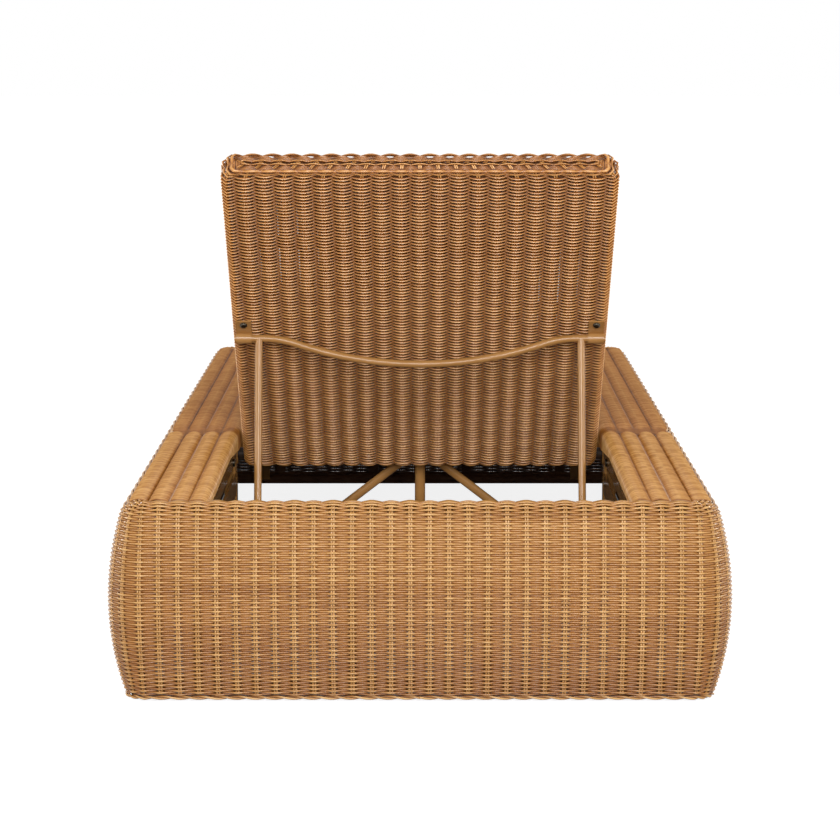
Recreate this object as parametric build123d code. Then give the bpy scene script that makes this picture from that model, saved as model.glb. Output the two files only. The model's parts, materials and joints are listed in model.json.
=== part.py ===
from build123d import *
from math import asin, atan2, cos, degrees, radians, sin, sqrt, tan
import os

# A woven chaise longue: a low base with four barrel-shaped woven walls, flat woven arms
# with lengthwise lobes, a woven seat deck and a backrest that folds down between the arms.
# A bail of round tube props the backrest up on two notched rails.
# Millimetres. X runs across, Y along, with the head end at minus Y, and Z is up from the floor.

# Base walls
base_length = 2000.0
base_width = 914.0
rim_height = 295.0
belly_height = 145.0
foot_inset = 27.0
shoulder_drop = 35.0
shoulder_inset = 15.0
rim_radius = 30.0
corner_radius = 60.0
skirt_clearance = 2.5
lip_drop = 58.0
weave = 7.0
border_diameter = 7.0
arm_border_turn = 59.0

# Arms
arm_width = 136.0
lobe_depth = 4.0
lobe_count = 3
arm_weave = 11.0
inner_wall_weave = 4.5
inner_wall_drop = 37.0
crease_from_hinge = 76.0
rear_roll_angle = 105.0
rear_wrap_length = 120.0
rear_wrap_drop = 30.0

# Frame tubes
rail_diameter = 20.0
tube_wall = 2.0
post_size = 22.0
fit_gap = 0.3
glide_height = 5.0
glide_diameter = 19.0
rib_width = 20.0
rib_thickness = 3.0
side_rib_count = 6
end_rib_count = 4
inner_post_step = 3.0
end_post_inset = 15.0
outer_post_inset = 120.0
outer_post_diameter = 16.0

# Seat
deck_recess = 31.0
deck_edge_gap = 4.0
deck_lip_drop = 30.0
seat_tube = 22.0
slat_diameter = 16.0
slat_count = 4
legged_slat = 2
leg_diameter = 16.0

# Hinge and truss
hinge_from_head = 822.0
hinge_drop = 53.0
pin_diameter = 10.0
pin_clearance = 0.05
hinge_plate_thickness = 5.0
hinge_lug_radius = 18.0
bolt_head_diameter = 17.0
bolt_head_height = 6.5
nut_height = 8.0
spacer_diameter = 20.0
truss_post_diameter = 18.0
truss_strut_diameter = 15.0
truss_post_gap = 18.0

# Backrest
back_side_gap = 15.0
back_length = 748.0
back_thickness = 44.0
back_angle = 45.0
back_edge_radius = 9.0
back_head_corner = 15.0
back_foot_corner = 24.0
back_cross_diameter = 20.0
back_cross_places = (180.0, 396.0, 560.0)
bush_flange_diameter = 24.0
bush_flange = 3.0
bush_depth = 28.0

# Prop
prop_place = 357.0
prop_diameter = 12.0
prop_wall = 1.5
prop_leg_inset = 43.0
prop_lean_angle = 16.0
prop_foot_drop = 42.0
prop_sag = 42.0
shoulder_share = 0.22
prop_bend_inset = 49.0
prop_end_inset = 4.0
plug_length = 3.0
clip_width = 25.0
clip_inset = 19.0
clip_strap = 2.5
clip_clearance = 0.1
clip_tab_length = 18.0
clip_bolt_diameter = 6.0
clip_bolt_head = 12.0
clip_bolt_head_height = 4.0
clip_tab_edge = 8.5

# Notched rails
notch_rail_thickness = 4.0
notch_rail_rise = 14.0
notch_rail_width = 78.0
notch_rail_hinge_gap = 36.0
notch_rail_from_head = 95.0
slot_drop = 20.0
slot_width = 20.0
slot_hinge_gap = 62.0
notch_width = 14.0
notch_angles = (45.0, 36.0, 27.0, 18.0, 9.0)
foot_bar_gap = 1.5
hanger_width = 25.0
hanger_thickness = 4.0
hanger_inset = 40.0
hanger_from_hinge = 130.0
rail_bolt_diameter = 8.0
rail_bolt_head = 13.0
rail_bolt_head_height = 3.5

overrun = 5.0

# Worked out from the sizes above
corner_x = base_width / 2 - corner_radius
corner_y = base_length / 2 - corner_radius
inner_rail_x = base_width / 2 - arm_width
post_inner_x = inner_rail_x - inner_post_step
deck_height = rim_height - deck_recess
hinge_height = rim_height - hinge_drop
prop_foot_height = hinge_height - prop_foot_drop
hinge_y = -base_length / 2 + hinge_from_head
arm_crease_y = hinge_y - crease_from_hinge
truss_spread = post_inner_x - truss_post_gap
back_width = 2 * (post_inner_x - back_side_gap)
prop_leg_x = back_width / 2 - prop_leg_inset
prop_bend_x = back_width / 2 - prop_bend_inset
prop_end_x = back_width / 2 - prop_end_inset
clip_x = back_width / 2 - clip_inset
notch_rail_top = hinge_height + notch_rail_rise
notch_rail_bottom = notch_rail_top - notch_rail_width
slot_top = notch_rail_top - slot_drop
slot_bottom = slot_top - slot_width
notch_rail_front_y = hinge_y - notch_rail_hinge_gap
notch_rail_rear_y = -base_length / 2 + notch_rail_from_head
slot_front_y = hinge_y - slot_hinge_gap
hanger_places = (hinge_y - hanger_from_hinge, notch_rail_rear_y + hanger_inset)
rail_radius = rail_diameter / 2
back_half = back_thickness / 2
back_tube = back_thickness - 2 * (weave + fit_gap)
plug_radius = prop_diameter / 2 - prop_wall
floor_rail_z = glide_height + rail_radius
notch_rail_x = post_inner_x - notch_rail_thickness
prop_offset = back_half + fit_gap + clip_strap + clip_clearance + prop_diameter / 2
crossbar_z = deck_height - weave - fit_gap - seat_tube / 2
crossbar_y = hinge_y + back_half + deck_edge_gap + weave + fit_gap + seat_tube / 2
deck_edge_radius = weave + fit_gap + seat_tube / 2
hinge_plate_x = post_inner_x - hinge_plate_thickness
seat_front_y = corner_y - end_post_inset
slat_pitch = (seat_front_y - crossbar_y) / (slat_count + 1)
centre_leg_y = crossbar_y + legged_slat * slat_pitch
wall_foot = skirt_clearance + border_diameter + fit_gap


def arc_through(centre, radius, start, end):
    """An arc from one polar angle to another, in degrees."""
    return CenterArc(centre, radius, start, end - start)


def outline_face(*edges):
    """A face from edges that are given in order, closed by a straight line where they stop short."""
    joined = []
    for edge in edges:
        if joined and (joined[-1] @ 1 - edge @ 0).length > fit_gap / 100:
            joined.append(Line(joined[-1] @ 1, edge @ 0))
        joined.append(edge)
    if (joined[-1] @ 1 - joined[0] @ 0).length > fit_gap / 100:
        joined.append(Line(joined[-1] @ 1, joined[0] @ 0))
    return make_face(joined)


def rod(start, end, diameter):
    """A solid round bar from one point to another."""
    along = Vector(*end) - Vector(*start)
    return Solid.make_cylinder(diameter / 2, along.length, Plane(origin=start, z_dir=along))


def tube(start, end, diameter, wall=tube_wall):
    """A round tube from one point to another, open at both ends."""
    along = (Vector(*end) - Vector(*start)).normalized() * overrun
    bore = rod(Vector(*start) - along, Vector(*end) + along, diameter - 2 * wall)
    return rod(start, end, diameter) - bore


def bar_along_x(centre, reach, diameter):
    """A round bar across the base, as far each way from its centre."""
    step = Vector(reach, 0, 0)
    return rod(Vector(*centre) - step, Vector(*centre) + step, diameter)


def bar_along_y(centre, reach, diameter):
    """A round bar along the base, as far each way from its centre."""
    step = Vector(0, reach, 0)
    return rod(Vector(*centre) - step, Vector(*centre) + step, diameter)


def biggest(piece):
    """The piece without the offcuts that coping leaves."""
    return piece.solids().sort_by(SortBy.VOLUME)[-1]


def box_between(low, high):
    """A box from its lowest to its highest corner."""
    size = Vector(*high) - Vector(*low)
    return Pos(*low) * Box(size.X, size.Y, size.Z, align=(Align.MIN, Align.MIN, Align.MIN))


def left_and_right(piece):
    """The piece as built on the right, and its mirror image on the left."""
    return mirror(piece, about=Plane.YZ), piece


def group(solids):
    """Separate solids that share one name."""
    return Compound(children=[solid for piece in solids for solid in piece.solids()])


# The barrel profile: a lower arc, an upper arc and a rounded rim, each tangent to the next.
# It is measured outward from the centre line of the corners and up from the floor.
lower_radius = (belly_height**2 + foot_inset**2) / (2 * foot_inset)
shoulder_rise = rim_height - shoulder_drop - belly_height
upper_radius = (shoulder_rise**2 + shoulder_inset**2) / (2 * shoulder_inset)
lower_centre = (corner_radius - lower_radius, belly_height)
upper_centre = (corner_radius - upper_radius, belly_height)
rim_centre_z = rim_height - rim_radius
rim_reach = sqrt((upper_radius - rim_radius) ** 2 - (rim_centre_z - belly_height) ** 2)
rim_centre = (upper_centre[0] + rim_reach, rim_centre_z)
rim_turn = degrees(atan2(rim_centre_z - belly_height, rim_reach))
lip_radius = rim_centre[0]
rim_rail = (weave + fit_gap + rail_radius, 0)
rim_hang = rim_radius - weave - fit_gap - rib_thickness - fit_gap - rail_radius
rim_rail = (rim_rail[0], rim_centre_z + sqrt(rim_hang**2 - (rim_rail[0] - rim_centre[0]) ** 2))


border_radius = border_diameter / 2
border_reach = degrees(asin((border_radius + fit_gap) / (rim_radius - border_radius)))


def barrel_edges(inset, foot, last_turn=90):
    """The barrel profile moved inward, from a height at the floor up to an angle on the rim."""
    foot_turn = degrees(asin((belly_height - foot) / (lower_radius - inset)))
    return [
        arc_through(lower_centre, lower_radius - inset, -foot_turn, 0),
        arc_through(upper_centre, upper_radius - inset, 0, rim_turn),
        arc_through(rim_centre, rim_radius - inset, rim_turn, last_turn),
    ]


def barrel_out(inset, height):
    """How far out the lower arc of the profile, moved inward, lies at a height."""
    return lower_centre[0] + sqrt((lower_radius - inset) ** 2 - (belly_height - height) ** 2)


def backwards(edges):
    """The same edges, run the other way."""
    return [edge.reversed(reconstruct=True) for edge in reversed(edges)]


def barrel_band(near, far, foot, last_turn=90):
    """The band of the barrel profile between two insets."""
    outer = barrel_edges(near, foot, last_turn)
    return outline_face(*outer, *backwards(barrel_edges(far, foot, last_turn)))


def end_wall_section():
    """The band for the head and foot walls, which rolls over the rim and hangs inside as a lip."""
    lip_foot = rim_height - lip_drop
    lip_centre = (lip_radius, rim_height - lip_radius)
    over = arc_through(lip_centre, lip_radius, 90, 180)
    under = arc_through(lip_centre, lip_radius - weave, 180, 90)
    return outline_face(
        *barrel_edges(0, wall_foot),
        over,
        Line((0, lip_centre[1]), (0, lip_foot)),
        Line((0, lip_foot), (weave, lip_foot)),
        Line((weave, lip_foot), (weave, lip_centre[1])),
        under,
        *backwards(barrel_edges(weave, wall_foot)),
    )


def corner_section():
    """The band for a rounded corner, closed over by a flat top."""
    return outline_face(
        *barrel_edges(0, wall_foot),
        Line((rim_centre[0], rim_height), (0, rim_height)),
        Line((0, rim_height), (0, rim_height - weave)),
        Line((0, rim_height - weave), (rim_centre[0], rim_height - weave)),
        *backwards(barrel_edges(weave, wall_foot)),
    )


side_plane = Plane(origin=(corner_x, 0, 0), x_dir=(1, 0, 0), z_dir=(0, -1, 0))
head_plane = Plane(origin=(0, -corner_y, 0), x_dir=(0, -1, 0), z_dir=(-1, 0, 0))
corner_plane = Plane(origin=(corner_x, -corner_y, 0), x_dir=(1, 0, 0), z_dir=(0, -1, 0))
corner_axis = Axis((corner_x, -corner_y, 0), (0, 0, -1))


def run_side(section, rear_y, front_y):
    """Extrudes a section of the right-hand side from one place along the base to another."""
    return Pos(0, front_y, 0) * extrude(side_plane * section, front_y - rear_y, dir=(0, -1, 0))


def run_end(section, half_width):
    """Extrudes a section of the head wall across the base."""
    return extrude(head_plane * section, half_width, both=True)


def turn_corner(section):
    """Revolves a section round the right-hand corner of the head end."""
    return revolve(corner_plane * section, axis=corner_axis, revolution_arc=90)


def end_wall_wicker():
    """The woven head wall with its two rounded corners."""
    right_corner = turn_corner(corner_section())
    return run_end(end_wall_section(), corner_x) + [right_corner, mirror(right_corner, about=Plane.YZ)]


def side_wicker():
    """The woven outer wall of one arm, up to the twisted border."""
    last_turn = arm_border_turn - border_reach
    return run_side(barrel_band(0, weave, wall_foot, last_turn), -corner_y, corner_y)


def woven_borders():
    """Twisted borders, as plain rounds: one along the floor and one on the outer edge of each arm."""
    out = barrel_out(border_radius, skirt_clearance + border_radius)
    ring = RectangleRounded(2 * (corner_x + out), 2 * (corner_y + out), out).wire()
    ends = Plane(origin=ring @ 0, z_dir=ring % 0)
    floor_border = Pos(0, 0, skirt_clearance + border_radius) * sweep(ends * Circle(border_radius), path=ring)
    turn = radians(arm_border_turn)
    reach = rim_radius - border_radius
    x = corner_x + rim_centre[0] + reach * cos(turn)
    z = rim_centre_z + reach * sin(turn)
    arm_border = bar_along_y((x, 0, z), corner_y, border_diameter)
    return group([floor_border, *left_and_right(arm_border)])


# The arm top: lengthwise lobes from the outer rim in to the inner rail.
rim_top_x = corner_x + rim_centre[0]
lobe_pitch = (rim_top_x - inner_rail_x) / lobe_count
lobe_radius = ((lobe_pitch / 2) ** 2 + lobe_depth**2) / (2 * lobe_depth)
lobe_turn = degrees(asin(lobe_pitch / 2 / lobe_radius))
inner_roll = rail_radius + inner_wall_weave
inner_rail_z = rim_height - inner_roll


def lobe_edges():
    """The lobed top, from the crest at the outer rim to the crest over the inner rail."""
    edges = []
    for index in range(lobe_count):
        crest = rim_top_x - index * lobe_pitch
        crest_centre = (crest, rim_height - lobe_radius)
        next_centre = (crest - lobe_pitch, rim_height - lobe_radius)
        edges.append(arc_through(crest_centre, lobe_radius, 90, 90 + lobe_turn))
        edges.append(arc_through(next_centre, lobe_radius, 90 - lobe_turn, 90))
    return edges


def inner_wall_edges(wall_drop):
    """The weave over the inner rail and down the inside, as far below the rim as it drops."""
    inner_face = inner_rail_x - inner_roll
    outer_face = inner_face + inner_wall_weave
    foot = rim_height - wall_drop
    return [
        arc_through((inner_rail_x, inner_rail_z), inner_roll, 90, 180),
        Line((inner_face, inner_rail_z), (inner_face, foot)),
        Line((inner_face, foot), (outer_face, foot)),
        Line((outer_face, foot), (outer_face, rim_height - arm_weave)),
    ]


def inner_roll_edges():
    """The weave that only rolls round the inner rail and ends under it."""
    rail_centre = (inner_rail_x, inner_rail_z)
    roll = arc_through(rail_centre, inner_roll, 90, 90 + rear_roll_angle)
    return [roll, Line(roll @ 1, rail_centre)]


def arm_wicker(rear_y, front_y, inner_edges):
    """A stretch of woven arm top with the given edges on its inner side."""
    rail_centre = (inner_rail_x, inner_rail_z)
    underside = rim_height - arm_weave
    rim_middle = (rim_top_x, rim_centre_z)
    first_turn = arm_border_turn + border_reach
    section = outline_face(
        arc_through(rim_middle, rim_radius, first_turn, 90),
        *lobe_edges(),
        *inner_edges,
        Line((inner_rail_x + inner_roll, underside), (rim_top_x, underside)),
        Line((rim_top_x, underside), (rim_top_x, rim_height - weave)),
        arc_through(rim_middle, rim_radius - weave, 90, first_turn),
    )
    section -= Pos(*rail_centre) * Circle(rail_radius + fit_gap)
    plane = Plane(origin=(0, front_y, 0), x_dir=(1, 0, 0), z_dir=(0, -1, 0))
    return extrude(plane * section, front_y - rear_y, dir=(0, -1, 0))


def deck_wicker():
    """The woven seat deck, rolled over the crossbar behind it."""
    half_width = inner_rail_x - inner_roll - fit_gap
    roll_centre = (crossbar_y, crossbar_z)
    lip_foot = deck_height - deck_lip_drop
    rear_y = crossbar_y - deck_edge_radius
    front_y = corner_y - fit_gap
    section = outline_face(
        Line((front_y, deck_height), (crossbar_y, deck_height)),
        arc_through(roll_centre, deck_edge_radius, 90, 180),
        Line((rear_y, crossbar_z), (rear_y, lip_foot)),
        Line((rear_y, lip_foot), (rear_y + weave, lip_foot)),
        Line((rear_y + weave, lip_foot), (rear_y + weave, crossbar_z)),
        arc_through(roll_centre, deck_edge_radius - weave, 180, 90),
        Line((crossbar_y, deck_height - weave), (front_y, deck_height - weave)),
    )
    return extrude(Plane.YZ * section, half_width, both=True)


# Frame rails. The rim rail hangs under the rim and the floor rail stands on the glides.
rib_inset = weave + fit_gap + rib_thickness
floor_rail_out = barrel_out(rib_inset + fit_gap + rail_radius, floor_rail_z)


def end_rail(out, height):
    """A tube along the head wall, mitred to a short diagonal and a stub at each corner."""
    mitre_turn = radians(90 / 4)
    near = out * tan(mitre_turn)
    right = [
        (corner_x + out, -corner_y, height),
        (corner_x + out, -corner_y - near, height),
        (corner_x + near, -corner_y - out, height),
    ]
    left = [(-x, y, z) for x, y, z in reversed(right)]
    ring = Circle(rail_radius) - Circle(rail_radius - tube_wall)
    start = Plane(origin=right[0], z_dir=(0, -1, 0))
    return sweep(start * ring, path=Polyline(right + left), transition=Transition.RIGHT)


def side_rail(out, height):
    """A straight tube along one side, butted to the stubs of the end rails."""
    x = corner_x + out
    return tube((x, -corner_y, height), (x, corner_y, height), rail_diameter)


def inner_rail():
    """The tube along the inner edge of one arm, from wall to wall."""
    start = (inner_rail_x, -corner_y, inner_rail_z)
    return tube(start, (inner_rail_x, corner_y, inner_rail_z), rail_diameter)


floor_crossbar_places = (-seat_front_y, crossbar_y, centre_leg_y, seat_front_y)


def floor_crossbars():
    """Tubes across the floor that carry the inner posts."""
    reach = corner_x + floor_rail_out
    bars = []
    for y in floor_crossbar_places:
        bar = tube((-reach, y, floor_rail_z), (reach, y, floor_rail_z), rail_diameter)
        for side in (-reach, reach):
            bar -= bar_along_y((side, y, floor_rail_z), rail_diameter, rail_diameter)
        bars.append(bar)
    return group(bars)


def inner_post(y):
    """A square post from the floor crossbar up to the inner rail of the right arm."""
    outer = box_between(
        (post_inner_x, y - post_size / 2, floor_rail_z),
        (post_inner_x + post_size, y + post_size / 2, inner_rail_z),
    )
    bore = box_between(
        (post_inner_x + tube_wall, y - post_size / 2 + tube_wall, floor_rail_z - overrun),
        (post_inner_x + post_size - tube_wall, y + post_size / 2 - tube_wall, inner_rail_z + overrun),
    )
    foot_bar = bar_along_x((post_inner_x, y, floor_rail_z), post_size + overrun, rail_diameter)
    over_bar = bar_along_y((inner_rail_x, y, inner_rail_z), post_size, rail_diameter)
    return biggest(outer - bore - foot_bar - over_bar)


def posts_at(places):
    """A pair of inner posts at each place along the base."""
    return group([half for y in places for half in left_and_right(inner_post(y))])


def outer_posts():
    """Upright tubes from the floor rail to the rim rail behind the woven walls."""
    out = weave + fit_gap + outer_post_diameter / 2
    x = corner_x + out
    far_y = corner_y - outer_post_inset
    post = tube((x, 0, floor_rail_z), (x, 0, rim_rail[1]), outer_post_diameter)
    for rail_out, height in ((floor_rail_out, floor_rail_z), rim_rail):
        post -= bar_along_y((corner_x + rail_out, 0, height), rail_diameter, rail_diameter)
    side_post = biggest(post)
    end_post = Pos(0, corner_x - corner_y, 0) * Rot(0, 0, -90) * side_post
    posts = [end_post, mirror(end_post, about=Plane.XZ)]
    for y in (-far_y, 0, far_y):
        posts += [Pos(0, y, 0) * half for half in left_and_right(side_post)]
    return group(posts)


def rib_section():
    """A flat strip bent to the inside of the woven wall, up and over the rim rail."""
    near = weave + fit_gap
    return barrel_band(near, near + rib_thickness, skirt_clearance + fit_gap)


def side_ribs():
    """The bent strips that hold the barrel shape of the right-hand wall."""
    pitch = 2 * corner_y / side_rib_count
    ribs = []
    for index in range(side_rib_count):
        y = -corner_y + (index + 1 / 2) * pitch
        ribs.append(run_side(rib_section(), y - rib_width / 2, y + rib_width / 2))
    return group(ribs)


def end_ribs():
    """The bent strips behind the head wall and the foot wall."""
    pitch = 2 * corner_x / end_rib_count
    ribs = []
    for index in range(end_rib_count):
        x = -corner_x + (index + 1 / 2) * pitch
        rib = Pos(x, 0, 0) * run_end(rib_section(), rib_width / 2)
        ribs += [rib, mirror(rib, about=Plane.XZ)]
    return group(ribs)


def floor_glides():
    """Round glides under the floor rails, at the corners and half-way along the sides."""
    x = corner_x + floor_rail_out
    glides = []
    for side in (-x, x):
        for y in (-corner_y, 0, corner_y):
            glides.append(rod((side, y, 0), (side, y, glide_height), glide_diameter))
    return group(glides)


# The cross frame under the hinge: crossbar, centre post and two struts.
def crossbar_between(y, half_length):
    """A tube across the seat under the deck."""
    return tube((-half_length, y, crossbar_z), (half_length, y, crossbar_z), seat_tube)


def hinge_crossbar():
    return crossbar_between(crossbar_y, hinge_plate_x)


def seat_front_crossbar():
    return crossbar_between(seat_front_y, post_inner_x)


seat_rail_x = inner_rail_x - inner_roll - fit_gap - seat_tube / 2


def seat_rail():
    """A lengthwise tube under the edge of the deck."""
    rail = tube((seat_rail_x, crossbar_y, crossbar_z), (seat_rail_x, seat_front_y, crossbar_z), seat_tube)
    for y in (crossbar_y, seat_front_y):
        rail -= bar_along_x((seat_rail_x, y, crossbar_z), seat_tube, seat_tube)
    return biggest(rail)


slat_z = deck_height - weave - fit_gap - slat_diameter / 2


def seat_slats():
    """Cross tubes under the deck, each coped to the seat rails."""
    slats = []
    for index in range(slat_count):
        y = crossbar_y + (index + 1) * slat_pitch
        slat = tube((-seat_rail_x, y, slat_z), (seat_rail_x, y, slat_z), slat_diameter)
        for x in (-seat_rail_x, seat_rail_x):
            slat -= bar_along_y((x, y, crossbar_z), seat_tube, seat_tube)
        slats.append(biggest(slat))
    return group(slats)


def seat_centre_leg():
    """A leg in the middle of the seat, from a floor crossbar up to a slat."""
    leg = tube((0, centre_leg_y, floor_rail_z), (0, centre_leg_y, slat_z), leg_diameter)
    leg -= bar_along_x((0, centre_leg_y, floor_rail_z), post_inner_x, rail_diameter)
    leg -= bar_along_x((0, centre_leg_y, slat_z), post_inner_x, slat_diameter)
    return biggest(leg)


def under_crossbar(piece):
    """Copes a truss member to the hinge crossbar above and the floor crossbar below."""
    piece -= bar_along_x((0, crossbar_y, crossbar_z), post_inner_x, seat_tube)
    piece -= bar_along_x((0, crossbar_y, floor_rail_z), post_inner_x, rail_diameter)
    return biggest(piece)


truss_foot = (0, crossbar_y, floor_rail_z)
truss_top = (0, crossbar_y, crossbar_z)


def truss_post():
    return under_crossbar(tube(truss_foot, truss_top, truss_post_diameter))


def truss_strut():
    """A strut from the foot of the frame up to the middle of the hinge crossbar."""
    foot = (truss_spread, crossbar_y, floor_rail_z)
    strut = under_crossbar(tube(foot, truss_top, truss_strut_diameter))
    return biggest(strut - rod(truss_foot, truss_top, truss_post_diameter))


def hinge_plate():
    """The plate on the hinge post that carries the pivot bolt of the backrest."""
    lug_top = hinge_height + hinge_lug_radius
    lug_bottom = hinge_height - hinge_lug_radius
    front_y = crossbar_y + post_size / 2
    section = outline_face(
        Line((front_y, lug_bottom), (front_y, lug_top)),
        Line((front_y, lug_top), (hinge_y, lug_top)),
        arc_through((hinge_y, hinge_height), hinge_lug_radius, 90, 270),
    )
    section -= Pos(hinge_y, hinge_height) * Circle(pin_diameter / 2 + pin_clearance)
    return Pos(hinge_plate_x, 0, 0) * extrude(Plane.YZ * section, hinge_plate_thickness, dir=(1, 0, 0))


foot_tube_rise = back_tube / 2 + back_foot_corner - back_half
foot_corner_reach = sqrt((back_foot_corner - weave) ** 2 - foot_tube_rise**2)
foot_tube_x = back_width / 2 - back_foot_corner + foot_corner_reach - fit_gap
bush_outer_x = foot_tube_x + bush_flange


def pivot_pin(start_x, end_x, diameter):
    """A round bar on the hinge axis on the right."""
    return rod((start_x, hinge_y, hinge_height), (end_x, hinge_y, hinge_height), diameter)


def hinge_bolts():
    """Pivot bolts through the hinge plates into the foot tube of the backrest."""
    shank = pivot_pin(bush_outer_x - bush_depth, post_inner_x, pin_diameter)
    head = pivot_pin(post_inner_x, post_inner_x + bolt_head_height, bolt_head_diameter)
    return group(left_and_right(shank + head))


def hinge_spacers():
    """Spacers that keep the backrest centred between the hinge plates."""
    ring = pivot_pin(bush_outer_x + fit_gap, hinge_plate_x, spacer_diameter)
    ring -= pivot_pin(0, base_width, pin_diameter + 2 * pin_clearance)
    return group(left_and_right(ring))


# Backrest, built lying flat with the hinge axis as its origin, then turned up to its rest angle.
clip_outer = prop_diameter / 2 + clip_clearance + clip_strap
clip_bolt_y = -(prop_place + clip_outer + clip_tab_length)
clip_hole_diameter = clip_bolt_diameter + 2 * pin_clearance
raised = Pos(0, hinge_y, hinge_height) * Rot(-back_angle, 0, 0)


def back_plan(inset, head_corner):
    """The outline of the panel seen from above, rounder at its foot corners."""
    half = back_width / 2 - inset
    foot = back_half - inset
    head = -back_length + inset
    foot_corner = back_foot_corner - inset
    plan = Rectangle(2 * half, foot - head)
    plan = fillet(plan.vertices().sort_by(Axis.Y)[2:], foot_corner)
    if head_corner:
        plan = fillet(plan.vertices().sort_by(Axis.Y)[:2], head_corner)
    return Pos(0, (foot + head) / 2) * plan


def back_slab(inset, head_corner, head_edge):
    """The panel as a slab with a round foot edge and softened head edges."""
    depth = back_half - inset
    head = -back_length + inset
    side = outline_face(
        arc_through((0, 0), depth, -90, 90),
        Line((0, depth), (head, depth)),
        Line((head, depth), (head, -depth)),
    )
    if head_edge:
        side = fillet(side.vertices().sort_by(Axis.X)[:2], head_edge)
    across = extrude(Plane.YZ * side, back_width, both=True)
    return across & extrude(back_plan(inset, head_corner), depth, both=True)


def back_wicker():
    """The woven skin of the backrest, hollow for its tube frame."""
    skin = back_slab(0, back_head_corner, back_edge_radius) - back_slab(weave, 0, 0)
    hole = spacer_diameter + 2 * fit_gap
    reach = back_width / 2 + overrun
    skin -= rod((-reach, 0, 0), (reach, 0, 0), hole)
    for x in (-clip_x, clip_x):
        skin -= rod((x, clip_bolt_y, -back_thickness), (x, clip_bolt_y, 0), clip_hole_diameter)
    return skin


back_tube_x = back_width / 2 - weave - fit_gap - back_tube / 2
back_head_y = -back_length + weave + fit_gap


def back_side_tube():
    """A tube up one side of the backrest, coped to the foot tube."""
    side = tube((back_tube_x, 0, 0), (back_tube_x, back_head_y, 0), back_tube)
    side -= rod((0, 0, 0), (back_width, 0, 0), back_tube)
    return biggest(side)


def between_side_tubes(y, diameter):
    """A tube across the backrest, coped to both side tubes."""
    bar = tube((-back_tube_x, y, 0), (back_tube_x, y, 0), diameter)
    for x in (-back_tube_x, back_tube_x):
        bar -= bar_along_y((x, y, 0), back_tube, back_tube)
    return biggest(bar)


def back_head_tube():
    return between_side_tubes(back_head_y + back_tube / 2, back_tube)


def back_cross_tubes():
    return group([between_side_tubes(-place, back_cross_diameter) for place in back_cross_places])


def back_foot_tube():
    """The tube at the hinge, which turns on the pivot bolts."""
    return tube((-foot_tube_x, 0, 0), (foot_tube_x, 0, 0), back_tube)


def hinge_bushes():
    """Flanged bushes in the ends of the foot tube."""
    outer = back_tube - 2 * tube_wall
    sleeve = rod((bush_outer_x - bush_depth, 0, 0), (foot_tube_x, 0, 0), outer)
    flange = rod((foot_tube_x, 0, 0), (bush_outer_x, 0, 0), bush_flange_diameter)
    bore = rod((0, 0, 0), (back_width, 0, 0), pin_diameter + 2 * pin_clearance)
    return group(left_and_right(sleeve + flange - bore))


# Prop clips: a strap with a flat tab on the panel and a loop round the end of the prop.
clip_tab_end = clip_bolt_y - clip_tab_edge


def prop_clip():
    """The strap clip on the right, with its bolt hole in the tab."""
    loop = Pos(-prop_place, -prop_offset) * (Circle(clip_outer) - Circle(clip_outer - clip_strap))
    tab_top = -back_half - fit_gap
    tab = outline_face(
        Line((-prop_place, tab_top), (clip_tab_end, tab_top)),
        Line((clip_tab_end, tab_top - clip_strap), (-prop_place, tab_top - clip_strap)),
    )
    section = loop + tab - Pos(-prop_place, -prop_offset) * Circle(clip_outer - clip_strap)
    strap = Pos(clip_x, 0, 0) * extrude(Plane.YZ * section, clip_width / 2, both=True)
    return strap - rod((clip_x, clip_bolt_y, -back_thickness), (clip_x, clip_bolt_y, 0), clip_hole_diameter)


def clip_bolts():
    """Button-head bolts through the clip tabs, with domed heads."""
    seat = -back_half - fit_gap - clip_strap
    shank_end = -back_half + weave
    shank = rod((clip_x, clip_bolt_y, seat), (clip_x, clip_bolt_y, shank_end), clip_bolt_diameter)
    head_end = seat - clip_bolt_head_height
    head = rod((clip_x, clip_bolt_y, head_end), (clip_x, clip_bolt_y, seat), clip_bolt_head)
    head = fillet(head.edges().group_by(Axis.Z)[0], clip_bolt_head_height - fit_gap)
    return group(left_and_right(shank + head))


# Prop: a bail of round tube, drawn in the plane of its legs and turned to its rest lean.
def turned_up(y, z):
    """Where a point of the flat backrest goes when it is raised, as Y and Z."""
    turn = radians(-back_angle)
    return hinge_y + y * cos(turn) - z * sin(turn), hinge_height + y * sin(turn) + z * cos(turn)


prop_y, prop_z = turned_up(-prop_place, -prop_offset)
prop_length = (prop_z - prop_foot_height) / cos(radians(prop_lean_angle))
prop_plane = Plane(
    origin=(0, prop_y, prop_z),
    x_dir=(1, 0, 0),
    z_dir=(0, -cos(radians(prop_lean_angle)), sin(radians(prop_lean_angle))),
)


def prop_point(x, down):
    """A point in the plane of the prop, measured down from its pivot axis."""
    return prop_plane.from_local_coords((x, -down, 0))


def prop_rod():
    """The top tube of the prop: straight ends, a short shoulder bend at each leg and a long bow."""
    bow_turn = 2 * degrees(atan2(prop_sag, prop_bend_x))
    both_radii = prop_bend_x / sin(radians(bow_turn))
    shoulder = shoulder_share * both_radii
    bow = both_radii - shoulder
    path = [
        Line((-prop_end_x, 0), (-prop_bend_x, 0)),
        arc_through((-prop_bend_x, -shoulder), shoulder, 90, 90 - bow_turn),
        arc_through((0, bow - prop_sag), bow, 270 - bow_turn, 270 + bow_turn),
        arc_through((prop_bend_x, -shoulder), shoulder, 90 + bow_turn, 90),
        Line((prop_bend_x, 0), (prop_end_x, 0)),
    ]
    ends = Plane(origin=(-prop_end_x, 0, 0), z_dir=(1, 0, 0))
    ring = Circle(prop_diameter / 2) - Circle(prop_diameter / 2 - prop_wall)
    return prop_plane * sweep(ends * ring, path=Wire(path))


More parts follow.
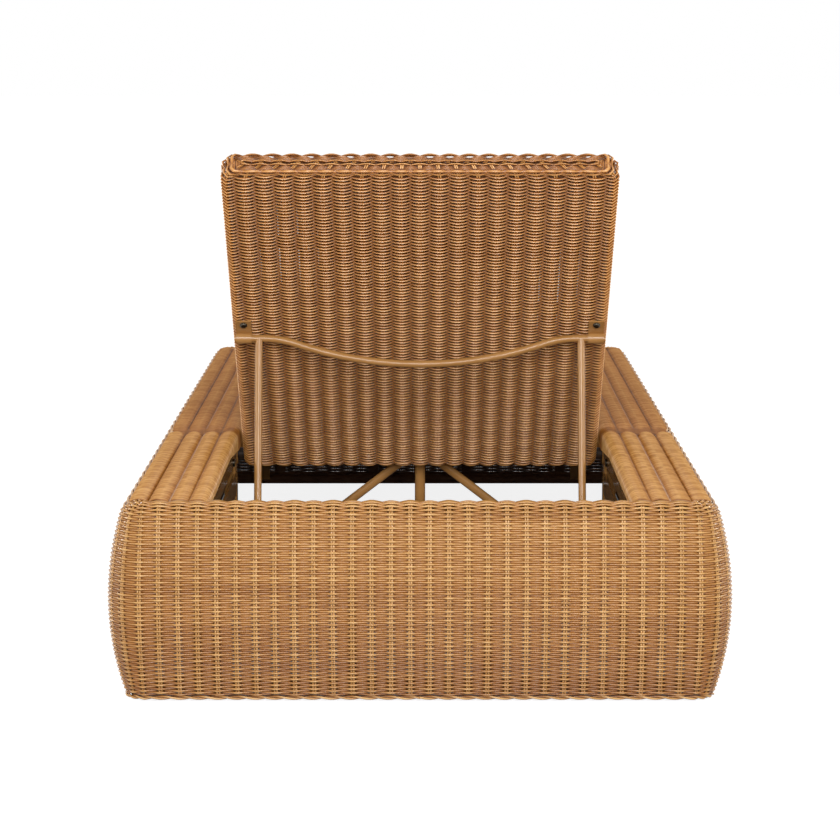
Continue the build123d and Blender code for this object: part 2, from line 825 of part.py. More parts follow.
foot_bar_x = notch_rail_x - foot_bar_gap


def prop_foot_bar():
    ends = [prop_point(x, prop_length) for x in (-foot_bar_x, foot_bar_x)]
    return tube(ends[0], ends[1], prop_diameter, prop_wall)


def prop_leg():
    """One leg, coped and welded to the top tube and the foot bar."""
    leg = tube(prop_point(prop_leg_x, 0), prop_point(prop_leg_x, prop_length), prop_diameter, prop_wall)
    for down in (0, prop_length):
        ends = [prop_point(prop_leg_x - side, down) for side in (prop_diameter, -prop_diameter)]
        leg -= rod(ends[0], ends[1], prop_diameter)
    return biggest(leg)


def prop_end_plugs():
    """Plugs pressed into the open ends of the top tube and the foot bar."""
    plugs = []
    for end_x, down in ((prop_end_x, 0), (foot_bar_x, prop_length)):
        plug = rod(prop_point(end_x - plug_length, down), prop_point(end_x, down), 2 * plug_radius)
        plugs += left_and_right(plug)
    return group(plugs)


rail_bolt_z = (notch_rail_top + slot_top) / 2


# Notched rails. A notch lies where the foot bar stands for each angle of the backrest.
def notch_y(angle):
    """The place of the foot bar when the backrest is held at an angle."""
    turn = radians(angle)
    pivot_y = hinge_y - prop_place * cos(turn) - prop_offset * sin(turn)
    pivot_z = hinge_height + prop_place * sin(turn) - prop_offset * cos(turn)
    return pivot_y - sqrt(prop_length**2 - (pivot_z - prop_foot_height) ** 2)


def notch_rail():
    """A flat rail with one long slot and a notch under it for each position."""
    end_radius = (notch_rail_top - slot_top) / 2
    places = [notch_y(angle) for angle in notch_angles]
    middle_y = (notch_rail_front_y + notch_rail_rear_y) / 2
    middle_z = (notch_rail_top + notch_rail_bottom) / 2
    blank = Rectangle(notch_rail_front_y - notch_rail_rear_y, notch_rail_top - notch_rail_bottom)
    blank = Pos(middle_y, middle_z) * fillet(blank.vertices(), end_radius)
    slot_rear_y = places[-1] - notch_width
    slot = Rectangle(slot_front_y - slot_rear_y, slot_top - slot_bottom)
    slot = fillet(slot.vertices(), end_radius / 2)
    section = blank - Pos((slot_front_y + slot_rear_y) / 2, (slot_top + slot_bottom) / 2) * slot
    seat_z = prop_foot_height + (notch_width - prop_diameter) / 2
    for y in places:
        notch = Rectangle(notch_width, slot_bottom + end_radius - seat_z, align=(Align.CENTER, Align.MIN))
        section -= Pos(y, seat_z) * (notch + Circle(notch_width / 2))
    for y in hanger_places:
        section -= Pos(y, rail_bolt_z) * Circle(rail_bolt_diameter / 2)
    return Pos(notch_rail_x, 0, 0) * extrude(Plane.YZ * section, notch_rail_thickness, dir=(1, 0, 0))


def notch_rail_hangers():
    """Flat tabs that hang the notched rails from the inner arm rails."""
    hangers = []
    for y in hanger_places:
        tab = box_between(
            (post_inner_x, y - hanger_width / 2, slot_top),
            (post_inner_x + hanger_thickness, y + hanger_width / 2, inner_rail_z),
        )
        tab -= bar_along_y((inner_rail_x, y, inner_rail_z), hanger_width, rail_diameter)
        tab -= bar_along_x((post_inner_x, y, rail_bolt_z), post_size, rail_bolt_diameter)
        hangers += left_and_right(biggest(tab))
    return group(hangers)


def notch_rail_bolts():
    """Bolts that clamp the notched rails to their hangers."""
    shank_end = post_inner_x + hanger_thickness
    head_x = notch_rail_x - rail_bolt_head_height
    bolts = []
    for y in hanger_places:
        shank = rod((notch_rail_x, y, rail_bolt_z), (shank_end, y, rail_bolt_z), rail_bolt_diameter)
        head = rod((head_x, y, rail_bolt_z), (notch_rail_x, y, rail_bolt_z), rail_bolt_head)
        nut = rod((shank_end, y, rail_bolt_z), (shank_end + nut_height, y, rail_bolt_z), rail_bolt_head)
        bolts += left_and_right(shank + head + nut)
    return group(bolts)


pieces = {}


def add_pair(name, piece):
    """Stores a right-hand piece and its mirror image under left and right names."""
    pieces["left_" + name], pieces["right_" + name] = left_and_right(piece)


def add_ends(name, piece):
    """Stores a head-end piece and its mirror image at the foot end."""
    pieces["rear_" + name] = piece
    pieces["front_" + name] = mirror(piece, about=Plane.XZ)


def add_back(name, piece):
    """Stores a piece of the backrest at its rest angle."""
    pieces[name] = raised * piece


add_ends("wall_wicker", end_wall_wicker())
add_pair("side_wicker", side_wicker())
rear_wrap_y = arm_crease_y - rear_wrap_length
rear_arm = arm_wicker(-corner_y, rear_wrap_y, inner_roll_edges())
rear_arm += arm_wicker(rear_wrap_y, arm_crease_y, inner_wall_edges(rear_wrap_drop))
add_pair("arm_rear_wicker", rear_arm)
add_pair("arm_front_wicker", arm_wicker(arm_crease_y, corner_y, inner_wall_edges(inner_wall_drop)))
pieces["seat_deck_wicker"] = deck_wicker()
pieces["woven_borders"] = woven_borders()

add_ends("top_rail", end_rail(*rim_rail))
add_pair("outer_top_rail", side_rail(*rim_rail))
add_pair("inner_arm_rail", inner_rail())
add_ends("floor_rail", end_rail(floor_rail_out, floor_rail_z))
add_pair("floor_rail", side_rail(floor_rail_out, floor_rail_z))
pieces["floor_crossbars"] = floor_crossbars()
pieces["outer_posts"] = outer_posts()
pieces["inner_posts"] = posts_at([-seat_front_y, seat_front_y])
pieces["hinge_posts"] = posts_at([crossbar_y])
add_pair("side_ribs", side_ribs())
pieces["end_wall_ribs"] = end_ribs()
pieces["floor_glides"] = floor_glides()

pieces["hinge_crossbar"] = hinge_crossbar()
pieces["seat_front_crossbar"] = seat_front_crossbar()
add_pair("seat_rail", seat_rail())
pieces["seat_slats"] = seat_slats()
pieces["seat_centre_leg"] = seat_centre_leg()
pieces["truss_centre_post"] = truss_post()
add_pair("truss_strut", truss_strut())
add_pair("hinge_plate", hinge_plate())
pieces["hinge_bolts"] = hinge_bolts()
pieces["hinge_spacers"] = hinge_spacers()
add_pair("notch_rail", notch_rail())
pieces["notch_rail_hangers"] = notch_rail_hangers()
pieces["notch_rail_bolts"] = notch_rail_bolts()

add_back("backrest_wicker", back_wicker())
side_tubes = left_and_right(back_side_tube())
add_back("backrest_left_tube", side_tubes[0])
add_back("backrest_right_tube", side_tubes[1])
add_back("backrest_head_tube", back_head_tube())
add_back("backrest_cross_tubes", back_cross_tubes())
add_back("backrest_foot_tube", back_foot_tube())
add_back("hinge_bushes", hinge_bushes())
clips = left_and_right(prop_clip())
add_back("left_prop_clip", clips[0])
add_back("right_prop_clip", clips[1])
add_back("clip_bolts", clip_bolts())

pieces["prop_rod"] = prop_rod()
add_pair("prop_leg", prop_leg())
pieces["prop_foot_bar"] = prop_foot_bar()
pieces["prop_end_plugs"] = prop_end_plugs()

os.makedirs("parts", exist_ok=True)
for name, piece in pieces.items():
    export_step(piece, f"parts/{name}.step")

flat_pivot_z = hinge_height - prop_offset
flat_dip = degrees(asin((flat_pivot_z - prop_foot_height) / prop_length))
prop_swing = (90 - prop_lean_angle) - flat_dip + back_angle
print("nodes", len(pieces))
print("prop pivot Y Z", round(prop_y, 3), round(prop_z, 3), "length", round(prop_length, 3))
print("prop turns", round(prop_swing, 3), "ratio", round(-prop_swing / back_angle, 5))
print("notches at Y", [round(notch_y(angle), 1) for angle in notch_angles])
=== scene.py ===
# %% [markdown]
# # A woven chaise longue, dressed strand by strand
# The steel-and-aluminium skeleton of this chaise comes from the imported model. What a person sees of the
# real one is mostly weave: round resin strands that run over and under pairs of upright stakes. A bump
# map could fake that from far away, but the edge of a rim would stay straight and the gaps would stay
# closed. So each wall is woven here as real geometry: one short strand is modelled once, repeated into a
# flat mat, waved over and under the stakes, and then wrapped round the form of the wall.

# %% Load the frame
import json
from math import asin, atan2, cos, degrees, pi, radians, sin, sqrt

import bpy
import numpy as np
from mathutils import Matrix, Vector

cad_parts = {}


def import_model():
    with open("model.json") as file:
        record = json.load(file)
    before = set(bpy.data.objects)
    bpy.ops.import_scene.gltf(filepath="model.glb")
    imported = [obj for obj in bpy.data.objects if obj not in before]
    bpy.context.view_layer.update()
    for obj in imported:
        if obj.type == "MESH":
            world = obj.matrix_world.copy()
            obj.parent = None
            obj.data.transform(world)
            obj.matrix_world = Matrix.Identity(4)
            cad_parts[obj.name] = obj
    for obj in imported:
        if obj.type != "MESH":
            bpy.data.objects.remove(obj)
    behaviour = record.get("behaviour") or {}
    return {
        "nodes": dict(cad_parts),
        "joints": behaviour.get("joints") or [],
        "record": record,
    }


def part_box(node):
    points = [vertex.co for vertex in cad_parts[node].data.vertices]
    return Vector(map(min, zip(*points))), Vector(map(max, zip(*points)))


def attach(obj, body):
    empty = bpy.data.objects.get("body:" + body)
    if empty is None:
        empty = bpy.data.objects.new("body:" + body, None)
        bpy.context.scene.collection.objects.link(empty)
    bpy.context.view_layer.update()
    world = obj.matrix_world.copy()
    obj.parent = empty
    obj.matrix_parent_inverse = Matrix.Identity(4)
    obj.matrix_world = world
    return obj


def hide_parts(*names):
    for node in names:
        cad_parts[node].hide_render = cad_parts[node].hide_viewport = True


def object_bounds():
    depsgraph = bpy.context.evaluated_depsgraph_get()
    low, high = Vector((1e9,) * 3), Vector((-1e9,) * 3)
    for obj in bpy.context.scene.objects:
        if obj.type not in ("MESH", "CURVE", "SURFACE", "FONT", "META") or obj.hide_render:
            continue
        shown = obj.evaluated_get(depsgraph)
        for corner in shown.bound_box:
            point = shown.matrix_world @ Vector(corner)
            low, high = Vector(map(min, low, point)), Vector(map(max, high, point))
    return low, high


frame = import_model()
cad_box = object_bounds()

MM = 0.001
print("CAD box", [round(value, 4) for corner in cad_box for value in corner])

# %% [markdown]
# ## Camera
# The photograph is taken from the head end with a long lens, about five metres away and a little above
# the backrest. Its place and pitch were worked out from the outline of the walls, the rim and the
# backrest, so that all of them fall where they do in the photograph.

# %% Camera
focal_pixels = 2804
image_pixels = 840
sensor_width = 36.0
camera_place = (0, -4.953, 0.988)
camera_pitch = 8.2

camera_data = bpy.data.cameras.new("camera")
camera_data.sensor_width = sensor_width
camera_data.lens = focal_pixels * sensor_width / image_pixels
camera = bpy.data.objects.new("camera", camera_data)
camera.location = camera_place
camera.rotation_euler = (radians(90 - camera_pitch), 0, 0)
bpy.context.scene.collection.objects.link(camera)
bpy.context.scene.camera = camera
print("lens", round(camera_data.lens, 1), "mm")

# %% [markdown]
# ## Working by hand, in code
# Every piece starts from a primitive and is shaped with the tools of edit mode. Those tools act on all
# that is selected, so these helpers keep the selection to one object.


# %% Small hand tools
def deselect():
    bpy.ops.object.select_all(action="DESELECT")


def pick(piece):
    """Makes a piece the only selected one, and the active one."""
    deselect()
    piece.select_set(True)
    bpy.context.view_layer.objects.active = piece


def finish_with(piece, kind, **settings):
    """Adds a modifier to a piece and applies it."""
    modifier = piece.modifiers.new(kind.lower(), kind)
    for name, value in settings.items():
        setattr(modifier, name, value)
    pick(piece)
    bpy.ops.object.modifier_apply(modifier=modifier.name)


def points_of(piece):
    flat = np.empty(3 * len(piece.data.vertices))
    piece.data.vertices.foreach_get("co", flat)
    return flat.reshape(-1, 3)


def move_points(piece, points):
    piece.data.vertices.foreach_set("co", points.ravel())
    piece.data.update()


def set_attribute(piece, name, values):
    attribute = piece.data.attributes.new(name, "FLOAT", "POINT")
    attribute.data.foreach_set("value", np.asarray(values, np.float32))


# %% [markdown]
# ## One strand
# The weaver is an extruded resin strand a little under four millimetres thick. From a metre away its
# round shape reads with five sides and smooth shading, which keeps tens of thousands of crossings
# affordable. It is a cylinder without ends, cut across so that it can bend, and it is laid along X for a
# weaver or left upright for a stake. Where nobody looks closely, four sides are enough, and the strand is
# a tenth thicker to fill as much as a round one.

# %% Strand sizes and the first strand
strand_radius = 1.85 * MM
row_pitch = 3.25 * MM
strand_wave = 2.4 * MM
stake_radius = 1.5 * MM
stake_spread = 3.4 * MM
strand_sides = 5
plain_sides = 4
plain_growth = 1.1
skin_gap = 0.2 * MM
weave_inset = strand_wave + strand_radius + skin_gap
print("strand", 2 * strand_radius / MM, "mm thick, weave", round(weave_inset / MM, 2), "mm under the skin")


def straight_strand(radius, length, cuts, upright=False, sides=strand_sides):
    """A strand from the origin along X, or upright along Z, cut across a number of times."""
    deselect()
    half = length / 2
    place, turn = ((0, 0, half), (0, 0, 0)) if upright else ((half, 0, 0), (0, pi / 2, 0))
    bpy.ops.mesh.primitive_cylinder_add(
        vertices=sides, radius=radius, depth=length, end_fill_type="NOTHING", location=place, rotation=turn
    )
    strand = bpy.context.object
    bpy.ops.object.transform_apply(location=True, rotation=True, scale=True)
    along = 2 if upright else 0
    corners = strand.data.vertices
    bpy.ops.object.mode_set(mode="EDIT")
    bpy.ops.mesh.select_mode(type="EDGE")
    bpy.ops.mesh.select_all(action="DESELECT")
    bpy.ops.object.mode_set(mode="OBJECT")
    for edge in strand.data.edges:
        start, end = (corners[index].co for index in edge.vertices)
        edge.select = abs(start[along] - end[along]) > half
    bpy.ops.object.mode_set(mode="EDIT")
    bpy.ops.mesh.subdivide(number_cuts=cuts)
    bpy.ops.object.mode_set(mode="OBJECT")
    return strand


def close_ends(strand):
    """Fills the open ends of a strand."""
    pick(strand)
    bpy.ops.object.mode_set(mode="EDIT")
    bpy.ops.mesh.select_all(action="SELECT")
    bpy.ops.mesh.fill_holes(sides=0)
    bpy.ops.object.mode_set(mode="OBJECT")


def repeat(piece, count, step, merge=0.0):
    """Repeats a piece in a row, joined end to end where a merging distance is given."""
    finish_with(
        piece,
        "ARRAY",
        count=count,
        use_relative_offset=False,
        use_constant_offset=True,
        constant_offset_displace=step,
        use_merge_vertices=merge > 0,
        merge_threshold=merge,
    )


# %% [markdown]
# ## A flat mat
# A mat lies flat first: X runs along the weavers, Z counts the rows and Y is how far a strand stands out
# of the cloth. The strand of one column is repeated along the row, closed at its two ends, and the row is
# repeated upwards. In a plain weave a strand passes in front of one stake and behind the next, and the
# next row does the opposite, which is a cosine that shifts by half a turn from row to row.


# %% Flat mats of weavers and of stakes
merge_share = 0.01


def flat_rows(columns, rows, column_pitch, cuts, radius=strand_radius, pitch=row_pitch, sides=strand_sides):
    """Rows of strands, each as many columns long."""
    growth = plain_growth if sides == plain_sides else 1
    strand = straight_strand(radius * growth, column_pitch, cuts, sides=sides)
    repeat(strand, columns, (column_pitch, 0, 0), merge=column_pitch * merge_share)
    close_ends(strand)
    repeat(strand, rows, (0, 0, pitch))
    return strand


def flat_stakes(columns, height, column_pitch, cuts):
    """Pairs of upright stakes, one pair to a column."""
    stake = straight_strand(stake_radius, height, cuts, upright=True)
    close_ends(stake)
    repeat(stake, 2, (stake_spread, 0, 0))
    repeat(stake, columns, (column_pitch, 0, 0))
    return stake


def row_numbers(piece, rows):
    """The number of the row that each point belongs to."""
    count = len(piece.data.vertices)
    return np.arange(count) // (count // rows)


# %% [markdown]
# ## Wrapping a mat round a form
# A form is a rule that gives the point of the wall's middle surface for a place along the row and a
# place up the wall. Two points a millimetre apart each way give the directions of the surface, and their
# cross product is the way out, along which the strand's own thickness and wave are laid.

# %% Wrapping
feel = 1 * MM
run_on = 10 * MM
smooth_angle = 80
random_tones = np.random.default_rng(7)


def track(points):
    """A rule for the point at a distance along a line, and the line's length.

    The line runs on straight past both ends, for the skin of a strand that lies along them.
    """
    steps = np.diff(points, axis=0)
    is_new = np.append(True, np.hypot(*steps.T) > 0)
    points = points[is_new]
    steps = steps[is_new[1:]]
    spans = np.hypot(*steps.T)
    length = spans.sum()
    start = points[0] - run_on * steps[0] / spans[0]
    end = points[-1] + run_on * steps[-1] / spans[-1]
    line = np.vstack([start, points, end])
    places = np.concatenate([[-run_on, 0], np.cumsum(spans), [length + run_on]])

    def at(distance):
        return np.interp(distance, places, line[:, 0]), np.interp(distance, places, line[:, 1])

    return at, length


def arc(centre, radius, start, end, count=40):
    """Points on an arc, from one angle to another in degrees."""
    turns = np.radians(np.linspace(start, end, count))
    return np.column_stack([centre[0] + radius * np.cos(turns), centre[1] + radius * np.sin(turns)])


def wrap(piece, form, along, lift, up):
    """Lays the points of a flat piece on a form. All distances are in metres."""
    here = form(along, up)
    side = form(along + feel, up) - form(along - feel, up)
    rise = form(along, up + feel) - form(along, up - feel)
    out = np.cross(rise, side)
    out /= np.linalg.norm(out, axis=1)[:, None]
    move_points(piece, here + out * lift[:, None])


def dress(piece, name, body, material, replaced=()):
    """Names a finished piece, smooths it and tells the frame what it is."""
    piece.name = piece.data.name = name
    pick(piece)
    bpy.ops.object.shade_smooth_by_angle(angle=radians(smooth_angle))
    piece.data.materials.clear()
    piece.data.materials.append(material)
    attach(piece, body)
    if replaced:
        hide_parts(*replaced)
    triangles = sum(len(face.vertices) - 2 for face in piece.data.polygons)
    print(name, triangles, "triangles")


# %% [markdown]
# ## Materials
# **Resin strand** is extruded polyethylene, coloured in the mass with two or three shades so that it looks
# like cane. The eye sees a satin golden tan that changes a little from strand to strand and along each
# one. **Powder coat** is sprayed and baked: an even satin skin with a fine orange-peel. **Darkened
# stainless steel** and **moulded nylon** are the small fittings.


# %% Colour and node helpers
def srgb(hex_code):
    """A linear colour from an sRGB hex code."""
    parts = [int(hex_code[index : index + 2], 16) / 255 for index in (1, 3, 5)]
    return [part / 12.92 if part <= 0.04045 else ((part + 0.055) / 1.055) ** 2.4 for part in parts] + [1]


def add(tree, kind, settings=None, links=None, stops=()):
    """Adds a node with its settings, what its inputs are linked or set to, and a ramp's colour stops."""
    node = tree.nodes.new(kind)
    for name, value in (settings or {}).items():
        setattr(node, name, value)
    for place, code in stops:
        node.color_ramp.elements.new(place).color = srgb(code)
    if stops:
        node.color_ramp.elements.remove(node.color_ramp.elements[0])
        node.color_ramp.elements.remove(node.color_ramp.elements[-1])
    for socket, value in (links or {}).items():
        if isinstance(value, bpy.types.NodeSocket):
            tree.links.new(value, node.inputs[socket])
        else:
            node.inputs[socket].default_value = value
    return node


def new_material(name):
    """A material, its tree, and the one shader that a new tree holds."""
    material = bpy.data.materials.new(name)
    material.use_nodes = True
    return material, material.node_tree, material.node_tree.nodes["Principled BSDF"]


# %% Resin strand
strand_mottle = 18 * MM
strand_grain = 0.35 * MM
grain_height = 0.05 * MM
grain_strength = 0.15
mottle_share = 0.45
mottle_spread = 97.0
resin_roughness = 0.33
resin_index = 1.5
half_shade_tan = "#CBAE88"
unshaded_white = "#FFFFFF"


def resin_strand(name, deep, middle, pale, crevice):
    """Extruded resin strand: a tone for each strand, mottling along it, and painted shade in the depths."""
    material, tree, shader = new_material(name)
    tone = add(tree, "ShaderNodeAttribute", {"attribute_name": "tone"}).outputs["Fac"]
    run = add(tree, "ShaderNodeAttribute", {"attribute_name": "run"}).outputs["Fac"]
    place = add(tree, "ShaderNodeCombineXYZ", links={"X": run, "Y": tone})
    stretch = add(
        tree,
        "ShaderNodeVectorMath",
        {"operation": "MULTIPLY"},
        {0: place.outputs[0], 1: (1 / strand_mottle, mottle_spread, 1.0)},
    )
    mottle = add(tree, "ShaderNodeTexNoise", {}, {"Vector": stretch.outputs[0], "Scale": 1.0, "Detail": 2.0})
    blend = add(
        tree,
        "ShaderNodeMix",
        {"data_type": "FLOAT"},
        {"Factor": mottle_share, "A": tone, "B": mottle.outputs["Fac"]},
    )
    shades = [(0.15, deep), (0.5, middle), (0.85, pale)]
    colour = add(tree, "ShaderNodeValToRGB", links={"Fac": blend.outputs["Result"]}, stops=shades)
    # Painted shade: the depth darkens the colour in crevices, behind the stakes and between strands.
    depth = add(tree, "ShaderNodeAttribute", {"attribute_name": "depth"}).outputs["Fac"]
    shades = [(0.05, crevice), (0.5, half_shade_tan), (0.8, unshaded_white)]
    crevice_shade_ramp = add(tree, "ShaderNodeValToRGB", links={"Fac": depth}, stops=shades)
    deepened = add(
        tree,
        "ShaderNodeMix",
        {"data_type": "RGBA", "blend_type": "MULTIPLY"},
        {"Factor": 1.0, 6: colour.outputs["Color"], 7: crevice_shade_ramp.outputs["Color"]},
    )
    tree.links.new(deepened.outputs[2], shader.inputs["Base Color"])
    where = add(tree, "ShaderNodeTexCoord").outputs["Object"]
    grain = add(tree, "ShaderNodeTexNoise", {}, {"Vector": where, "Scale": 1 / strand_grain, "Detail": 1.0})
    bump = add(
        tree,
        "ShaderNodeBump",
        {},
        {"Height": grain.outputs["Fac"], "Strength": grain_strength, "Distance": grain_height},
    )
    tree.links.new(bump.outputs["Normal"], shader.inputs["Normal"])
    shader.inputs["Roughness"].default_value = resin_roughness
    shader.inputs["IOR"].default_value = resin_index
    return material


wall_resin = resin_strand("resin_strand_golden", "#A07038", "#B8884A", "#CCA064", "#4A2A10")
# Painted light: the backrest faces down, away from the lamps, so its resin is a paler copy of the wall's.
back_resin_painted_light = resin_strand("resin_strand_painted_light", "#BC8446", "#CE9654", "#DEA866", "#3A1C0A")
stake_resin = resin_strand("resin_stake_pale", "#B4864C", "#C69860", "#D6AA74", "#5E3216")


# %% Powder coat, darkened steel and nylon
shade_patch = 60 * MM
peel_height = 0.05 * MM
peel_strength = 0.2
coat_index = 1.4


def smooth_skin(name, code, dark_code, roughness, peel, metallic=0.0):
    """A satin skin with a fine peel and a slight change of shade. Only what isn't bare metal has an index."""
    material, tree, shader = new_material(name)
    where = add(tree, "ShaderNodeTexCoord").outputs["Object"]
    shade = add(tree, "ShaderNodeTexNoise", {}, {"Vector": where, "Scale": 1 / shade_patch, "Detail": 3.0})
    shades = [(0.3, dark_code), (0.7, code)]
    colour = add(tree, "ShaderNodeValToRGB", links={"Fac": shade.outputs["Fac"]}, stops=shades)
    tree.links.new(colour.outputs["Color"], shader.inputs["Base Color"])
    bumps = add(tree, "ShaderNodeTexNoise", {}, {"Vector": where, "Scale": 1 / peel, "Detail": 1.0})
    bump = add(
        tree,
        "ShaderNodeBump",
        {},
        {"Height": bumps.outputs["Fac"], "Strength": peel_strength, "Distance": peel_height},
    )
    tree.links.new(bump.outputs["Normal"], shader.inputs["Normal"])
    shader.inputs["Roughness"].default_value = roughness
    shader.inputs["Metallic"].default_value = metallic
    if not metallic:
        shader.inputs["IOR"].default_value = coat_index
    return material


powder_coat = smooth_skin("powder_coated_aluminium", "#AA7C48", "#9E703C", 0.1, 1.2 * MM)
# Painted shade: a darker copy of the powder coat for the metal hidden inside the base and the backrest.
shade_painted_coat = smooth_skin("powder_coated_aluminium_painted_shade", "#70482A", "#58361E", 0.6, 1.2 * MM)
dark_steel = smooth_skin("darkened_stainless_steel", "#4C463C", "#3A352D", 0.35, 0.8 * MM, metallic=1.0)
dark_nylon = smooth_skin("moulded_nylon", "#3A281A", "#2E2015", 0.55, 0.6 * MM)

slot_materials = {"frame": powder_coat, "bolt": dark_steel, "nylon": dark_nylon, "wicker": wall_resin}
slot_of = {part["node"]: part["material_slot"] for part in frame["record"]["subparts"]}
# Hidden frame metal gets the darker copy of the coat as painted shade.
hidden_metal = ("rib", "floor_", "top_rail", "outer_posts", "seat_", "backrest_")
for name, node in frame["nodes"].items():
    is_hidden = slot_of[name] == "frame" and any(word in name for word in hidden_metal)
    node.data.materials.clear()
    node.data.materials.append(shade_painted_coat if is_hidden else slot_materials[slot_of[name]])
print(len(frame["nodes"]), "nodes have their finish")

# %% [markdown]
# ## The form of the base
# Seen from above, the four walls run round a rectangle with rounded corners. Cut through, a wall is a
# barrel: a long lower arc, a flatter upper arc and a tight rim, each tangent to the next.

# %% Barrel
rim_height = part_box("rear_wall_wicker")[1].z
half_width = cad_box[1].x
half_length = cad_box[1].y
corner_radius = 60 * MM
belly_height = 145 * MM
foot_inset = 27 * MM
shoulder_height = 260 * MM
shoulder_inset = 15 * MM
rim_radius = 30 * MM
wall_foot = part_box("rear_wall_wicker")[0].z
corner_x = half_width - corner_radius
corner_y = half_length - corner_radius

lower_radius = (belly_height**2 + foot_inset**2) / (2 * foot_inset)
shoulder_rise = shoulder_height - belly_height
upper_radius = (shoulder_rise**2 + shoulder_inset**2) / (2 * shoulder_inset)
lower_centre = (corner_radius - lower_radius, belly_height)
upper_centre = (corner_radius - upper_radius, belly_height)
rim_centre_z = rim_height - rim_radius
rim_reach = sqrt((upper_radius - rim_radius) ** 2 - (rim_centre_z - belly_height) ** 2)
rim_centre = (upper_centre[0] + rim_reach, rim_centre_z)
rim_turn = degrees(atan2(rim_centre_z - belly_height, rim_reach))
print("barrel radii", [round(radius / MM, 1) for radius in (lower_radius, upper_radius, rim_radius)], "mm")

# %% [markdown]
# 204 pairs of stakes stand round the base, none of them at the middle of the head end. A place along a
# row is counted from there, and the stops below are where a straight stretch or a corner begins.

# %% Round of the base
stake_count = 204
corner_length = (corner_radius - weave_inset) * pi / 2
round_length = 4 * corner_x + 4 * corner_y + 4 * corner_length
stake_pitch = round_length / stake_count
print("stake pitch", round(stake_pitch / MM, 2), "mm")

plan_steps = [corner_x, corner_length, 2 * corner_y, corner_length, 2 * corner_x]
plan_steps += [corner_length, 2 * corner_y, corner_length, corner_x]
plan_stops = np.append(0, np.cumsum(plan_steps))
plan_x = corner_x * np.array([0, -1, -1, -1, -1, 1, 1, 1, 1, 0])
plan_y = corner_y * np.array([-1, -1, -1, 1, 1, 1, 1, -1, -1, -1])
plan_turn = np.radians([0, 0, 90, 90, 180, 180, 270, 270, 360, 360])


def base_form(profile):
    """The middle surface of a wall that has this profile, going round from the middle of the head end."""

    def form(along, up):
        out, height = profile(up)
        along = np.mod(along, round_length)
        turn = np.interp(along, plan_stops, plan_turn)
        x = np.interp(along, plan_stops, plan_x) - out * np.sin(turn)
        y = np.interp(along, plan_stops, plan_y) - out * np.cos(turn)
        return np.column_stack([x, y, height + 0 * x])

    return form


# %% [markdown]
# The rows of a wall start just above its foot. On the head and foot walls they go on over the rim and roll
# back down inside it. On the sides they stop at the border of the arm.


# %% Profiles of the walls
def wall_line(inset, foot, last_turn):
    """The line of the barrel at an inset, from a height at the foot up to an angle on the rim."""
    foot_turn = degrees(asin((belly_height - foot) / (lower_radius - inset)))
    return np.vstack(
        [
            arc(lower_centre, lower_radius - inset, -foot_turn, 0),
            arc(upper_centre, upper_radius - inset, 0, rim_turn)[1:],
            arc(rim_centre, rim_radius - inset, rim_turn, last_turn)[1:],
        ]
    )


border_turn = 59
border_radius = 3.5 * MM
border_reach = degrees(asin(border_radius / (rim_radius - border_radius)))
first_row = wall_foot + strand_radius
lip_radius = rim_centre[0]
lip_centre = (lip_radius, rim_height - lip_radius)
lip_drop = 58 * MM
lip_foot = rim_height - lip_drop
lip_line = arc(lip_centre, lip_radius - weave_inset, 90, 180, 20)
end_line = np.vstack([wall_line(weave_inset, first_row, 90), lip_line[1:]])
side_line = wall_line(weave_inset, first_row, border_turn - border_reach)
rim_start = track(wall_line(weave_inset, first_row, rim_turn))[1]
hanging_line = np.array([lip_line[-1], (weave_inset, lip_foot + strand_radius)])
print("rim starts", round(rim_start / MM), "mm up the wall")

# %% [markdown]
# ## Weaving the walls
# The six stretches of wall have the same number of columns, so they meet half-way between two pairs of
# stakes and the weave runs through. Each gets its rows first and then its pairs of stakes.


# %% Tones and depths
splice_length = 420 * MM
foot_shade = 0.16
unshaded_share = 0.8
sharp_places = [0, rim_start / 2, rim_start - 15 * MM, rim_start + 12 * MM]
sharp_values = [1.4, 3.0, 3.2, 0.2]


def tones(along, row):
    """A tone for each strand, with a new strand spliced in now and then."""
    shift = random_tones.random(row.max() + 1)[row]
    splice = np.floor(along / splice_length + shift).astype(int)
    splice -= splice.min()
    table = random_tones.random((row.max() + 1, splice.max() + 1))
    return table[row, splice]


def over_and_under(turns, sharpness=0.0):
    """How far forward a strand passes, from 1 over a stake to -1 behind the next."""
    swing = np.cos(pi * turns)
    return np.sign(swing) * np.abs(swing) ** (1 + sharpness)


def flank(height, radius):
    """How far a point lies from the crest of its strand towards the next strand, where painted shade falls.
    """
    return (height / radius) ** 2


def colour_by(mat, tone, run, depth):
    """Gives a mat what its material reads.

    That is a tone from 0 to 1, a place along the strand, and a depth from 0 in a crevice to 1 on a crest,
    which the material turns into painted shade.
    """
    set_attribute(mat, "tone", tone)
    set_attribute(mat, "run", run)
    set_attribute(mat, "depth", depth)


def wall_sharpness(up):
    """Strands bend sharply at the stakes on the wall, and lie in long arches over the rim."""
    return np.interp(up, sharp_places, sharp_values)


def lower_wall_shade(up):
    """Painted shade: the weave is darker towards the floor, where less light reaches it."""
    return np.interp(up, [0, unshaded_share * rim_start], [foot_shade, 0.0])


# %% Woven wall
middle_depth = 0.5
row_shade = 0.1
# Painted light and shade of the stakes: how lit a stake is, how much darker its inner side, how much lighter
# its tip.
stake_shine = 0.6
round_shine = 0.4
tip_shine = 0.2
tip_length = 20 * MM


